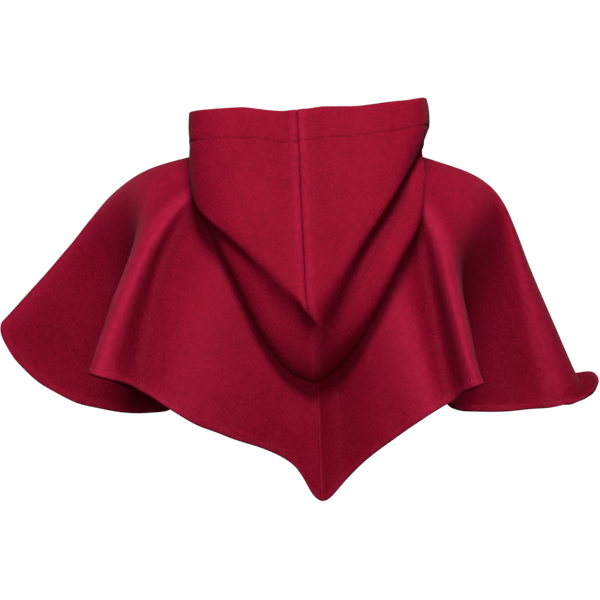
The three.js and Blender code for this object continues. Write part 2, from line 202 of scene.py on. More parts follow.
HOOD_RIGHT = [
    (0, 0, 1.07, 0.8, 0.3, 0, -0.05, 1, -1, -0.125, 0.525, 0.85),
    (8, 8, 0.98, 0.9, 0.9, 0.1, 0.13, 0.98, -0.82, 0.04, 0.53, 0.905),
    (18, 17, 0.8, 1.2, 1.4, 0.2, 0.32, 0.935, -0.6, 0.285, 0.52, 0.9),
    (31, 28, 0.585, 1.2, 1.6, 0.4, 0.53, 0.82, -0.34, 0.57, 0.49, 0.955),
    (44, 38, 0.405, 1.1, 1.4, 0.6, 0.725, 0.65, -0.08, 0.835, 0.41, 1.03),
    (57, 52, 0.25, 0.9, 0.5, 0.9, 0.85, 0.43, 0.12, 0.935, 0.26, 1.07),
    (72, 70, 0.19, 0.7, 0.1, 0.8, 0.87, 0.17, 0.17, 0.92, 0.05, 1),
    (90, 90, 0.18, 0.7, 0, 0.3, 0.88, -0.03, 0.12, 0.77, -0.06, 0.95),
]
HOOD_FRONT = [
    (115, 115, 0.2, 0.6, 0, 0, 0.83, -0.28, -0.045, 0.64, -0.235, 0.55),
    (142, 142, 0.2, 0.7, 0, 0, 0.52, -0.495, -0.21, 0.36, -0.385, 0.175),
    (164, 164, 0.2, 0.7, 0, 0, 0.19, -0.59, -0.3, 0.14, -0.465, 0),
    (180, 180, 0.2, 0.7, 0, 0, 0, -0.615, -0.335, 0, -0.485, -0.05),
]

# Sewing: the roll at a seam and at an edge, the face hem's width, the steps in the thickness at an allowance
# and at the face hem, and the share by which a pressed allowance thickens the cloth
SEAM_ROLL = 0.0016
EDGE_ROLL = 0.0022
FACE_HEM = 0.042
THICKNESS_STEP, BAND_STEP = 0.0012, 0.002
PRESSED_SHARE = 0.8

# Relief beside a seam: the pressed allowance's rise and its step, puckers, and the valley beside the hood's
# centre seam, which is shallower away from the face hem
SEAM_RISE, SEAM_STEP = 0.0008, 0.003
PUCKER_HEIGHT, PUCKER_PITCH = 0.0010, 0.011
PUCKER_REACH, PUCKER_PULL = 0.008, 0.4
VALLEY_DEPTH, VALLEY_LEAST = 0.0024, 0.3
VALLEY_PLACE, VALLEY_WIDTH = 0.018, 0.008
VALLEY_EDGE_PLACE, VALLEY_EDGE_WIDTH = 0.050, 0.040

# Relief of the cloth itself: swells and dimples, which fade in over a reach from the seams, how far down the
# mantle sinks under the hood, and how its edge wavers
SWELL_HEIGHT, SWELL_PITCH = 0.0018, 0.065
DIMPLE_HEIGHT, DIMPLE_PITCH = 0.0004, 0.021
OWN_RELIEF_REACH = 0.020
SINK_DEPTH = 0.0024
SINK_START, SINK_REACH = 0.015, 0.13
WAVER_HEIGHT, WAVER_PITCH = 0.0009, 0.017
WAVER_REACH, WAVER_SEAM_REACH = 0.006, 0.01

# Wear: the width over which it fades, its shares at the mantle's edge and hem, at the face edge and in the
# bands beside the hood's seam, which are paler partly from rubbing and partly as a painted highlight of the
# seam's ridges, and these bands' place and width
WEAR_REACH = 0.004
MANTLE_EDGE_WEAR, MANTLE_HEM_WEAR = 0.8, 0.3
FACE_EDGE_WEAR, BAND_WEAR_AND_HIGHLIGHT = 0.7, 0.8
BAND_PLACE, BAND_WIDTH = 0.0055, 0.0042

# Hollows, from which the wool lays its painted shade in valleys and its painted highlight on the crest of a
# fold: how far on both sides of a point the cloth is compared with it, and the depth that counts as 1
HOLLOW_REACH = 0.018
HOLLOW_DEPTH_SHARE = 0.3

# Grid: table rows from a seam at which its close columns stand, distances of the close rows from the
# neckline and from an edge, and how many columns and rows lie evenly between
SEAM_COLUMNS = (0, 0.015, 0.04, 0.08, 0.14, 0.22, 0.32, 0.44, 0.58, 0.74, 0.92, 1.12, 1.36, 1.62, 1.9)
NECK_ROWS = (0, 0.0004, 0.001, 0.0018, 0.003, 0.006, 0.010)
MANTLE_EDGE_ROWS = (
    0.02, 0.016, 0.013, 0.0112, 0.01, 0.0092, 0.0085, 0.0078, 0.007, 0.0058, 0.0044, 0.0034, 0.0026,
    0.002, 0.0014, 0.0009, 0.0005, 0.0002, 0,
)
FACE_EDGE_ROWS = (
    0.054, 0.05, 0.047, 0.045, 0.0432, 0.042, 0.0412, 0.0405, 0.0398, 0.039, 0.0378, 0.036, 0.0335,
    0.0305, 0.0275, 0.024, 0.0205, 0.017, 0.014, 0.011, 0.0085, 0.0065, 0.0048, 0.0034, EDGE_ROLL,
)
FACE_HEM_ROWS = slice(None, FACE_EDGE_ROWS.index(FACE_HEM) - len(FACE_EDGE_ROWS) - 1, -1)
MANTLE_COLUMNS_PER_ROW = 11
HOOD_COLUMNS_PER_ROW = 12
MANTLE_ROWS = 62
HOOD_ROWS = 130
MEASURE_STEPS = 320
TURN_STEPS = 4000
ROLL_ANGLES = np.radians(np.linspace(0, 150, 10)[1:])
TURNED_ANGLES = np.radians(np.linspace(152, 180, 4))

# Hems: the rise of the cloth over them, and for each its stitching's distance from the edge, the width of the
# step at its rise, its puckers' height, pitch, reach and pull down the cloth, and its stitches' groove
HEM_RISE = 0.0006
MANTLE_HEM = dict(
    stitching=0.0085, step=0.003, height=0.0010, pitch=0.011, reach=0.009, pull=0.3,
    groove_width=0.0013, groove_depth=0.0009,
)
FACE_OPENING_HEM = dict(
    stitching=0.0405, step=0.004, height=0.0022, pitch=0.0143, reach=0.011, pull=0.35,
    groove_width=0.0016, groove_depth=0.00117,
)
MANTLE_STITCH_ROW = MANTLE_EDGE_ROWS.index(MANTLE_HEM["stitching"]) - len(MANTLE_EDGE_ROWS)
FACE_STITCH_ROW = FACE_EDGE_ROWS.index(FACE_OPENING_HEM["stitching"]) - len(FACE_EDGE_ROWS)

# What the studio's camera and lights look at, the camera's elevation in degrees, and the lights: name, place,
# width and height, and share of the key light's strength
VIEW_MIDDLE = (-0.0144, 0, -0.156)
VIEW_ELEVATION = 3
SENSOR_WIDTH = 36
LIT_PLACE = (0, 0, -0.15)
LIGHTS = (
    ("key", (0.1, -2.0, 2.25), (0.9, 0.7), 1),
    ("front", (0, -3.0, 0.4), (1.0, 0.8), 0.22),
    ("far_left", (-1.9, 2.7, 0.8), (1.0, 1.2), 0.13),
    ("far_right", (1.9, 2.7, 0.8), (1.0, 1.2), 0.13),
)

# The floor: its height, the radius where it starts to bend up, the bend's own radius and the wall's height
FLOOR_HEIGHT = -1.45
FLOOR_RADIUS = 5.0
FLOOR_BEND = 1.5
WALL_HEIGHT = 5.0

# Thread: the distance between the cloth's own threads, and a stitch's height over the cloth at its middle and
# how fast it falls to its ends, in widths of the thread
THREAD_PITCH = 0.0013
STITCH_HEIGHT, STITCH_FALL = 0.30, 2.2


class Side(NamedTuple):
    """One half of the garment: its name, +1 or -1 along X, and its rows of the hem and of the hood."""

    name: str
    sign: int
    hem: np.ndarray
    hood: np.ndarray


SIDES = (
    Side("left", -1, np.array(HEM_LEFT + HEM_FRONT, float), np.array(HOOD_LEFT + HOOD_FRONT, float)),
    Side("right", 1, np.array(HEM_RIGHT + HEM_FRONT, float), np.array(HOOD_RIGHT + HOOD_FRONT, float)),
)


def length_setting(name, description, default, low, high):
    """A setting in metres."""
    return FloatProperty(
        name=name, description=description, default=default, min=low, max=high, unit="LENGTH"
    )


def colour_setting(name, description, default):
    """A setting of a linear colour."""
    return FloatVectorProperty(
        name=name, description=description, default=default, min=0, max=1, subtype="COLOR"
    )


class ClothSettings(bpy.types.PropertyGroup):
    """Sizes and colours of the cloth and its sewing."""

    thickness: length_setting("Cloth", "Thickness of the fulled cloth", 0.002, 0.001, 0.003)
    hem: length_setting(
        "Mantle hem", "Width of the hem that is turned in round the mantle", 0.010, 0.006, 0.02
    )
    allowance: length_setting(
        "Seam allowance", "Width of cloth pressed open on each side of a seam", 0.009, 0.004, 0.015
    )
    wool: colour_setting("Wool", "Colour of the cloth's face", (0.280, 0.0028, 0.0195))
    # deep is also painted into the cloth's hollows as painted shade
    deep: colour_setting(
        "Deep wool", "Colour of the darker fibres and of the cloth's back", (0.170, 0.0001, 0.0115)
    )
    # This colour is also painted onto the mantle's fold crest lines as a painted highlight
    worn_and_highlight: colour_setting("Worn wool", "Colour where folds and edges have rubbed", (0.430, 0.0120, 0.0530))


class ThreadSettings(bpy.types.PropertyGroup):
    """Sizes and colour of the sewing thread."""

    pitch: length_setting("Stitch pitch", "Distance from one stitch to the next", 0.0052, 0.003, 0.012)
    length: length_setting(
        "Stitch length", "Length of thread that shows in one stitch", 0.0030, 0.001, 0.006
    )
    width: length_setting("Thread", "Thickness of the sewing thread", 0.0006, 0.0002, 0.0012)
    colour: colour_setting("Thread colour", "Colour of the sewing thread", (0.200, 0.0030, 0.0180))


class StudioSettings(bpy.types.PropertyGroup):
    """Camera and lights."""

    distance: length_setting("Camera distance", "From the camera to the middle of its view", 2.6, 1, 6)
    view_width: length_setting("View width", "Width of the view at the middle of the object", 0.72, 0.3, 2)
    key: FloatProperty(
        name="Key light", description="Strength of the large light above the camera",
        default=88, min=0, max=400,
    )
    fill: FloatProperty(
        name="Fill light", description="Strength of the even light from all round",
        default=0.04, min=0, max=2,
    )


# Splines and lines of cloth


def spline_shares(t):
    """The four shares of a uniform cubic B-spline at a part t of the way between two control rows."""
    return [(1 - t) ** 3 / 6, (3 * t**3 - 6 * t**2 + 4) / 6, (1 + 3 * t + 3 * t**2 - 3 * t**3) / 6, t**3 / 6]


def along(lines, at):
    """Cubic B-spline along each of several lines of control points, clamped at both ends.

    lines is (lines, points, n) and at is (lines, places). Each end point is doubled outwards, 2 a - b, so
    that the curve starts and ends on it.
    """
    first = 2 * lines[:, :1] - lines[:, 1:2]
    last = 2 * lines[:, -1:] - lines[:, -2:-1]
    padded = joined(first, lines, last)
    start = np.clip(np.floor(at).astype(int), 0, lines.shape[1] - 2)
    line = np.arange(len(lines))[:, None]
    shares = spline_shares(at - start)
    return sum(share[..., None] * padded[line, start + k] for k, share in enumerate(shares))


def blend(rows, at):
    """The same spline down the rows of one table."""
    return along(rows[None], np.asarray(at)[None])[0]


def joined(*grids):
    """Grids joined down their columns."""
    return np.concatenate(grids, axis=1)


def unit(vectors):
    """Vectors divided by their own lengths."""
    return vectors / np.linalg.norm(vectors, axis=-1, keepdims=True)


def lengths(points, axis):
    """Distance run through to each point of a grid, from the first one along an axis."""
    steps = np.linalg.norm(np.diff(points, axis=axis), axis=-1)
    start = np.zeros_like(np.take(steps, [0], axis=axis))
    return np.cumsum(np.concatenate([start, steps], axis=axis), axis=axis)


def outward(side, turn):
    """Level directions away from the neck's axis: (sign sin turn, -cos turn, 0)."""
    angle = np.radians(turn)
    return np.stack([side.sign * np.sin(angle), -np.cos(angle), 0 * angle], axis=-1)


def neck_points(side, turn):
    """The neckline: an ellipse whose height is side + slope cos turn + bend cos turn squared."""
    ahead = np.cos(np.radians(turn))
    slope = (NECK_BACK_HEIGHT - NECK_FRONT_HEIGHT) / 2
    bend = (NECK_BACK_HEIGHT + NECK_FRONT_HEIGHT) / 2 - NECK_SIDE_HEIGHT
    points = outward(side, turn) * (NECK_HALF_WIDTH, NECK_HALF_DEPTH, 0)
    points[..., 2] = NECK_SIDE_HEIGHT + slope * ahead + bend * ahead**2
    return points


def crest_points(side, turn):
    """The shoulders' crest: half width times a power of the sine aside, reach times a power of the cosine
    behind or before, and a height between the side's and the back's or front's by a power of the cosine."""
    angle = np.radians(turn)
    aside = np.abs(np.sin(angle))
    ahead = np.abs(np.cos(angle))
    behind = np.cos(angle) > 0
    reach = np.where(behind, -SHOULDER_BACK_REACH, SHOULDER_FRONT_REACH)
    low = np.where(behind, SHOULDER_BACK_HEIGHT, SHOULDER_FRONT_HEIGHT)
    x = side.sign * SHOULDER_HALF_WIDTH * aside**CREST_SIDE_POWER
    y = reach * ahead**CREST_DEPTH_POWER
    z = SHOULDER_SIDE_HEIGHT - side.sign * SHOULDER_TILT_HEIGHT * aside
    return np.stack([x, y, z + (low - SHOULDER_SIDE_HEIGHT) * ahead**CREST_HEIGHT_POWER], axis=-1)


def between(start, end, share):
    """Points a share of the way from one to another."""
    return start + (end - start) * share


def mantle_lines(side, at):
    """Control points of the mantle's lines from the neckline over the shoulder to the hem.

    Neckline, a point of the swell above the way to the crest, crest, four points of the straight way to the
    hem, and the hem. A bow moves them aside and back by shares of its size, and a flip turns the last two
    out.
    """
    turn, aside, back, down, bow_aside, bow_back, flip = blend(side.hem, at).T
    neck = neck_points(side, turn)
    crest = crest_points(side, turn)
    hem = np.stack([side.sign * HEM_HALF_WIDTH * aside, -HEM_REACH * back, -HEM_DROP * down], axis=-1)
    out = outward(side, turn)
    slope = between(neck, crest, NECK_TO_CREST_SHARE) + NECK_SWELL_HEIGHT * UP
    bow = HEM_BOW * np.stack([side.sign * bow_aside, -bow_back, 0 * turn], axis=-1)
    falling = [
        between(crest, hem, share) + part * bow for share, part in zip(CREST_TO_HEM_SHARES, BOW_SHARES)
    ]
    curl, turned = (
        HEM_FLIP_DEPTH * flip[:, None] * (share * out + up * UP)
        for share, up in zip(FLIP_OUT_SHARES, FLIP_UP_SHARES)
    )
    falling[-1] = falling[-1] + curl
    return np.stack([neck, slope, *falling, hem + turned], axis=1)


def place_of_turn(side, turn):
    """Places in the hem's table at which the mantle passes each turn round the neck."""
    places = np.linspace(0, len(side.hem) - 1, TURN_STEPS)
    return np.interp(turn, blend(side.hem, places)[:, 0], places)


def points_down(lines, distance):
    """Point at its own distance down each line, and the line's direction there."""
    places = np.linspace(0, lines.shape[1] - 1, MEASURE_STEPS + 1)
    points = along(lines, np.tile(places, (len(lines), 1)))
    gone = lengths(points, axis=1)
    step = np.clip((gone < distance[:, None]).sum(axis=1) - 1, 0, MEASURE_STEPS - 1)
    line = np.arange(len(lines))
    direction = unit(points[line, step + 1] - points[line, step])
    return points[line, step] + (distance - gone[line, step])[:, None] * direction, direction


def hood_lines(side, at):
    """Control points of the hood's lines from the neckline to the face edge.

    Up the neck, out and down the mantle as the under layer at a clearance from it, round the bottom fold, up
    the outer layer to the ridge, with the second roll and the seam's sway between them, and over the ridge
    and a puffed stretch to the face edge. The sway fades with exp(-(turn / sway turn) squared).
    """
    turn, fold_turn, length, width, roll, puff, *shares = blend(side.hood, at).T
    out = outward(side, turn)

    def over_mantle(share, clearance):
        place = place_of_turn(side, turn + (fold_turn - turn) * share)
        point, direction = points_down(mantle_lines(side, place), HOOD_LENGTH * length * share)
        lean = out + UNDER_LEAN * UP
        normal = unit(lean - (lean * direction).sum(axis=-1, keepdims=True) * direction)
        return point + clearance * normal

    def place_at(sizes, aside, back, up):
        wide, deep, high = sizes
        return np.stack([side.sign * wide * aside, -deep * back, high * up], axis=-1)

    neck = neck_points(side, turn) + SEAM_GAP * UP
    rise = neck + STAND_SHARE * NECK_RISE_HEIGHT * UP + NECK_RISE_DEPTH * out
    brow = over_mantle(BROW_LENGTH_SHARE, HOOD_CLEARANCE) + BROW_SHARE * NECK_RISE_HEIGHT * UP
    under = [over_mantle(share, HOOD_CLEARANCE) for share in UNDER_SHARES]
    fold = over_mantle(1, HOOD_CLEARANCE + FOLD_WIDTH * width[:, None])
    ridge = place_at((HOOD_HALF_WIDTH, HOOD_REACH, RIDGE_DROP), *shares[:3])
    face = place_at((HOOD_HALF_WIDTH, HOOD_REACH, FACE_HEIGHT), *shares[3:])
    depth = ROLL_DEPTH * roll[:, None] * out
    sway = np.exp(-((turn / SEAM_SWAY_TURN) ** 2))[:, None] * (SEAM_SWAY, 0, 0)
    rising = [
        between(fold, ridge, share) + part * depth + swing * sway
        for share, part, swing in zip(FOLD_TO_RIDGE_SHARES, ROLL_SHARES, SWAY_SHARES)
    ]
    outer = [
        between(ridge, face, share) + part * PUFF_DEPTH * puff[:, None] * out
        for share, part in zip(RIDGE_TO_FACE_SHARES, PUFF_SHARES)
    ]
    return np.stack([neck, rise, brow, *under, fold, *rising, ridge, *outer, face], axis=1)


# Cloth as a grid


class Cloth(NamedTuple):
    """A grid of cloth, (columns, rows): points, outside normals, distances from the back seam, the front
    seam, the neckline and the free edge, the flat cut's coordinates, and the sign of the faces' outside."""

    points: np.ndarray
    normals: np.ndarray
    from_back: np.ndarray
    from_front: np.ndarray
    from_neck: np.ndarray
    from_edge: np.ndarray
    cut: np.ndarray
    outside: int

    @property
    def from_seam(self):
        """Distance from the nearer of the two seams."""
        return np.minimum(self.from_back, self.from_front)


def close_at_ends(last, per_row):
    """Places from 0 to last, even in the middle and close together at both ends."""
    near = np.array(SEAM_COLUMNS)
    count = int(round((last - 2 * near[-1]) * per_row))
    even = np.linspace(near[-1], last - near[-1], count + 1)
    return np.concatenate([near[:-1], even, (last - near[:-1])[::-1]])


def distances_down(total, start, end, count):
    """Distances down each column: fixed ones from its start, even ones, and fixed ones to its end."""
    head = np.tile(start, (len(total), 1))
    tail = total[:, None] - np.array(end)
    even = np.linspace(head[:, -1], tail[:, 0], count + 2, axis=1)[:, 1:-1]
    return joined(head, even, tail)


def grid_normals(points, side, outside):
    """Unit normals across times down, taken between each point's neighbours, on the outside.

    At the seams across is straight aside, so that both halves have the same normal there.
    """
    across, down = np.gradient(points, axis=(0, 1))
    across[[0, -1]] = np.array([[[side.sign, 0, 0]], [[-side.sign, 0, 0]]])
    return unit(np.cross(across, down) * outside * side.sign)


def fade_in(distance, width):
    """0 at no distance, rising smoothly to 1 over about a width: 1 - exp(-(distance / width) squared)."""
    return 1 - np.exp(-((distance / width) ** 2))


def lay_cloth(side, lines, start, end, count, outside, flat):
    """The cloth of one half: its lines sampled at distances down them, with everything measured on it.

    The normals turn into the seam's plane close to a seam, and the halves keep half a gap from it.
    """
    fine = np.linspace(0, lines.shape[1] - 1, MEASURE_STEPS + 1)
    run = lengths(along(lines, np.tile(fine, (len(lines), 1))), axis=1)
    wanted = distances_down(run[:, -1], start, end, count)
    places = np.array([np.interp(want, gone, fine) for want, gone in zip(wanted, run)])
    points = along(lines, places)
    normals = grid_normals(points, side, outside)
    from_back = lengths(points, axis=0)
    from_front = from_back[-1] - from_back
    from_seam = np.minimum(from_back, from_front)
    normals[..., 0] *= fade_in(from_seam, MEETING_TURN_REACH)
    points[..., 0] += side.sign * MEETING_GAP / 2 * (1 - fade_in(from_seam, MEETING_REACH))
    from_edge = run[:, -1:] - wanted
    return Cloth(
        points, unit(normals), from_back, from_front, wanted, from_edge, flat(from_back, wanted),
        outside * side.sign,
    )


def both_faces(cloth, base, relief, thickness, rolled=0.0):
    """The outer and the inner face of cloth round a base, both rolled in at its edge.

    The inner face's seam edges lean a little to the right on both halves, so that no light shines straight
    through between them.
    """
    outer = base - (relief + rolled)[..., None] * cloth.normals
    inner = base - (relief + thickness - rolled)[..., None] * cloth.normals
    inner[..., 0] += MEETING_LEAN * (1 - fade_in(cloth.from_seam, MEETING_REACH))
    return outer, inner


def fan_cut(across, down):
    """Flat cut of a flared half: a ring's sector whose radius grows with the distance down.

    The sector's angle is the growth in width from the first row to the last, over the depth.
    """
    angle = (across[-1, -1] - across[-1, 0]) / down[:, -1].mean()
    radius = across[-1, 0] / angle + down
    swing = angle * across / across[-1]
    return np.stack([radius * np.sin(swing), radius * np.cos(swing)], axis=-1)


def straight_cut(across, down):
    """Flat cut of a half whose threads run straight: the distances across and down."""
    return np.stack([across, down], axis=-1)


def roll_in(distance, radius):
    """Depth of a quarter round of a radius at an edge: radius - sqrt(radius^2 - (radius - distance)^2)."""
    short = np.clip(radius - distance, 0, radius)
    return radius - np.sqrt(radius**2 - short**2)


def within(distance, width, soft):
    """1 inside a width, 0 outside it, with a smooth step that is soft wide."""
    t = np.clip((width + soft / 2 - distance) / soft, 0, 1)
    return t * t * (3 - 2 * t)


def line_at(distance, place, width):
    """A smooth line at a distance: exp(-((distance - place) / width) squared)."""
    return np.exp(-(((distance - place) / width) ** 2))


def uneven(seed, across, down, pitch):
    """Smooth random heights from about -1 to 1: a B-spline both ways through seeded random values that
    stand on a square lattice of one pitch."""
    size = 64
    gain = 1.6
    lattice = np.random.default_rng(seed).uniform(-1, 1, (size, size))
    i, j = across / pitch, down / pitch
    i0, j0 = np.floor(i).astype(int), np.floor(j).astype(int)
    shares_i, shares_j = spline_shares(i - i0), spline_shares(j - j0)
    return gain * sum(
        shares_i[a] * shares_j[b] * lattice[(i0 + a) % size, (j0 + b) % size]
        for a in range(4)
        for b in range(4)
    )


def stitched(run, pitch):
    """Depth along a line of stitches: 0.55 + 0.45 cos of the distance run, a wave to each stitch."""
    return 0.55 + 0.45 * np.cos(2 * np.pi * run / pitch)


def seam_relief(seed, distance, run, allowance):
    """Inward depth beside a seam: its roll, less the rise of the pressed allowance and its puckers, which
    fade with exp(-distance / reach)."""
    rise = SEAM_RISE * within(distance, allowance, SEAM_STEP)
    pucker = PUCKER_HEIGHT * uneven(seed, distance * PUCKER_PULL, run, PUCKER_PITCH)
    return roll_in(distance, SEAM_ROLL) - rise - pucker * np.exp(-distance / PUCKER_REACH)


def hem_relief(
    seed, cloth, width, stitching, step, height, pitch, reach, pull, groove_width, groove_depth
):
    """Inward depth at a hem of a width: its rise and its puckers, which fade with exp(-distance / reach) from
    the stitching, both outward, and the groove of its stitches."""
    rise = HEM_RISE * within(cloth.from_edge, width, step)
    pucker = height * uneven(seed, cloth.from_back, cloth.from_edge * pull, pitch)
    groove = groove_depth * line_at(cloth.from_edge, stitching, groove_width)
    stitches = stitched(cloth.from_back, bpy.context.scene.wool_hood_thread.pitch)
    return groove * stitches - rise - pucker * np.exp(-np.abs(cloth.from_edge - stitching) / reach)


def moved_along(values, distance, reach):
    """Values read a reach further on along the first axis, whose distances are given for each row."""
    return np.stack([
        np.stack([np.interp(gone + reach, gone, part) for part in row.T], axis=-1)
        for gone, row in zip(distance.T, values.transpose(1, 0, 2))
    ], axis=1)


def hollows(cloth):
    """How hollow the cloth lies, about -1 on a fold's crest and 1 in its valley: how far the middle of two
    points a reach away on both sides stands over each point, across plus down, over a share of the reach."""
    turned = cloth.points.transpose(1, 0, 2), cloth.from_neck.T
    across = sum(moved_along(cloth.points, cloth.from_back, way * HOLLOW_REACH) for way in (-1, 1))
    down = sum(moved_along(*turned, way * HOLLOW_REACH) for way in (-1, 1)).transpose(1, 0, 2)
    rise = ((across + down) / 2 - 2 * cloth.points) * cloth.normals
    return np.clip(rise.sum(axis=-1) / (HOLLOW_DEPTH_SHARE * HOLLOW_REACH), -1, 1)


def own_relief(seed, cloth):
    """Inward depth of the cloth's own unevenness, none at the seams or the neckline, where halves meet."""
    across, down = cloth.cut[..., 0] + 1, cloth.cut[..., 1] + 1
    swell = SWELL_HEIGHT * uneven(seed, across, down, SWELL_PITCH)
    dimples = DIMPLE_HEIGHT * uneven(seed + 1, across, down, DIMPLE_PITCH)
    free = fade_in(cloth.from_seam, OWN_RELIEF_REACH) * fade_in(cloth.from_neck, OWN_RELIEF_REACH)
    return -(swell + dimples) * free


def half_relief(seam_seed, seed, cloth, allowance):
    """Inward depth of a half's own unevenness and of its seams, of which the two that halves share are alike
    on both."""
    relief = own_relief(seed, cloth)
    relief += seam_relief(seam_seed, cloth.from_back, cloth.from_neck, allowance)
    relief += seam_relief(seam_seed + 1, cloth.from_front, cloth.from_neck, allowance)
    return relief + seam_relief(seed + 4, cloth.from_neck, cloth.from_back, allowance)


# Meshes


def new_object(mesh, material):
    """An object of a mesh's name at the origin in the scene, with one material."""
    mesh.materials.append(material)
    piece = bpy.data.objects.new(mesh.name, mesh)
    bpy.context.scene.collection.objects.link(piece)
    return piece


def quads(*corners):
    """Faces from four grids of vertex numbers."""
    return np.stack(corners, axis=-1).reshape(-1, 4)


def smooth_mesh(name, points, faces):
    """A smoothly shaded mesh of a grid of points."""
    mesh = bpy.data.meshes.new(name)
    mesh.from_pydata(points.reshape(-1, 3), [], faces)
    mesh.polygons.foreach_set("use_smooth", np.ones(len(faces), bool))
    mesh.update()
    return mesh


def sheet_mesh(name, outer, inner, cut, wear, hollow, outside):
    """A closed sheet between an outer and an inner grid of points, with its four borders.

    cut goes into a UV map of metres. wear, from 0 to 1, and hollow, from -1 to 1, go into attributes.
    """
    columns, rows = outer.shape[:2]
    top, under = np.arange(2 * columns * rows).reshape(2, columns, rows)
    faces = np.concatenate([
        quads(top[:-1, :-1], top[1:, :-1], top[1:, 1:], top[:-1, 1:]),
        quads(under[:-1, 1:], under[1:, 1:], under[1:, :-1], under[:-1, :-1]),
        quads(under[:-1, 0], under[1:, 0], top[1:, 0], top[:-1, 0]),
        quads(top[:-1, -1], top[1:, -1], under[1:, -1], under[:-1, -1]),
        quads(top[0, :-1], top[0, 1:], under[0, 1:], under[0, :-1]),
        quads(top[-1, 1:], top[-1, :-1], under[-1, :-1], under[-1, 1:]),
    ])
    if outside < 0:
        faces = faces[:, ::-1]
    mesh = smooth_mesh(name, np.stack([outer, inner]), faces)
    flat = np.tile(cut.reshape(-1, 2), (2, 1))
    mesh.uv_layers.new(name="cut").data.foreach_set("uv", flat[faces.ravel()].ravel())
    for attribute, values in (("wear", np.clip(wear, 0, 1)), ("hollow", hollow)):
        data = mesh.attributes.new(attribute, "FLOAT", "POINT").data
        data.foreach_set("value", np.tile(values.ravel(), 2).astype(np.float32))
    return mesh


def thread_mesh(name, points, normals, settings):
    """Stitches along a path: short rods of seven sides whose ends sink into the cloth.

    A stitch's rings stand at shares of its length, each a circle whose radius narrows to the ends, and its
    height over the cloth falls with the square of the share.
    """
    shares = np.array([-1, -0.8, -0.4, 0, 0.4, 0.8, 1]) / 2
    radii = np.array([0.35, 0.8, 1, 1, 1, 0.8, 0.35]) * settings.width / 2
    turns = np.linspace(0, 2 * np.pi, 7, endpoint=False)
    run = lengths(points, axis=0)
    middles = np.arange(settings.pitch, run[-1] - settings.pitch, settings.pitch)
    here, ahead, up = (
        np.stack([np.interp(middles + step, run, values[:, k]) for k in range(3)], axis=-1)
        for step, values in ((0, points), (settings.length / 2, points), (0, normals))
    )
    forward = unit(ahead - here)
    up = unit(up - (up * forward).sum(axis=-1, keepdims=True) * forward)
    aside = np.cross(forward, up)
    height = settings.width * (STITCH_HEIGHT - STITCH_FALL * shares**2)
    rings = (
        here[:, None, None]
        + forward[:, None, None] * (settings.length * shares)[:, None, None]
        + up[:, None, None] * (height[:, None, None] + (radii[:, None] * np.sin(turns))[..., None])
        + aside[:, None, None] * (radii[:, None] * np.cos(turns))[..., None]
    )
    number = np.arange(rings[..., 0].size).reshape(rings.shape[:3])
    following = np.roll(number, -1, axis=2)
    sides = quads(number[:, :-1], following[:, :-1], following[:, 1:], number[:, 1:])
    ends = np.concatenate([number[:, 0, ::-1], number[:, -1]]).tolist()
    return smooth_mesh(name, rings, sides.tolist() + ends)


# Shaders


class Value:
    """An output of a shader's node. Sums, products and sines of it add Math nodes."""

    def __init__(self, shader, socket):
        self.shader = shader
        self.socket = socket

    def maths(self, operation, *terms):
        return self.shader.node("ShaderNodeMath", {"operation": operation}, dict(enumerate(terms)))

    def __add__(self, other):
        return self.maths("ADD", self, other)

    def __mul__(self, other):
        return self.maths("MULTIPLY", self, other)

    def sine(self):
        return self.maths("SINE", self)

    __radd__ = __add__
    __rmul__ = __mul__


class Shader:
    """A material whose nodes are added one at a time."""

    def __init__(self, name):
        self.material = bpy.data.materials.new(name)
        self.material.use_nodes = True
        self.tree = self.material.node_tree
        self.tree.nodes.clear()
        self.place = self.node("ShaderNodeTexCoord", {}, {}, "Object")

    def node(self, kind, settings, sockets=None, output=0):
        """Adds a node with its settings and its sockets' values or links. Returns one of its outputs."""
        node = self.tree.nodes.new(kind)
        for name, value in settings.items():
            setattr(node, name, value)
        for name, value in (sockets or {}).items():
            if isinstance(value, Value):
                self.tree.links.new(value.socket, node.inputs[name])
            else:
                node.inputs[name].default_value = value
        return Value(self, node.outputs[output]) if node.outputs else None

    def noise(self, scale, detail):
        """Noise from 0 to 1 at a scale of features to the metre."""
        sockets = {"Vector": self.place, "Scale": scale, "Detail": detail, "Roughness": 0.6}
        return self.node("ShaderNodeTexNoise", {}, sockets)

    def ramp(self, value, low, high):
        """A value stretched so that low becomes 0 and high becomes 1."""
        sockets = {"Value": value, "From Min": low, "From Max": high}
        return self.node("ShaderNodeMapRange", {"clamp": True}, sockets)

    def mix(self, share, start, end):
        """A colour a share of the way from one to another."""
        return self.node("ShaderNodeMix", {"data_type": "RGBA"}, {0: share, 6: start, 7: end}, 2)

    def surface(self, sockets):
        """Adds the surface with its sockets, and returns the material."""
        surface = self.node("ShaderNodeBsdfPrincipled", {}, sockets)
        self.node("ShaderNodeOutputMaterial", {}, {"Surface": surface})
        return self.material


def opaque(colour, factor):
    """A colour with full alpha, times a factor."""
    return (colour[0] * factor, colour[1] * factor, colour[2] * factor, 1.0)


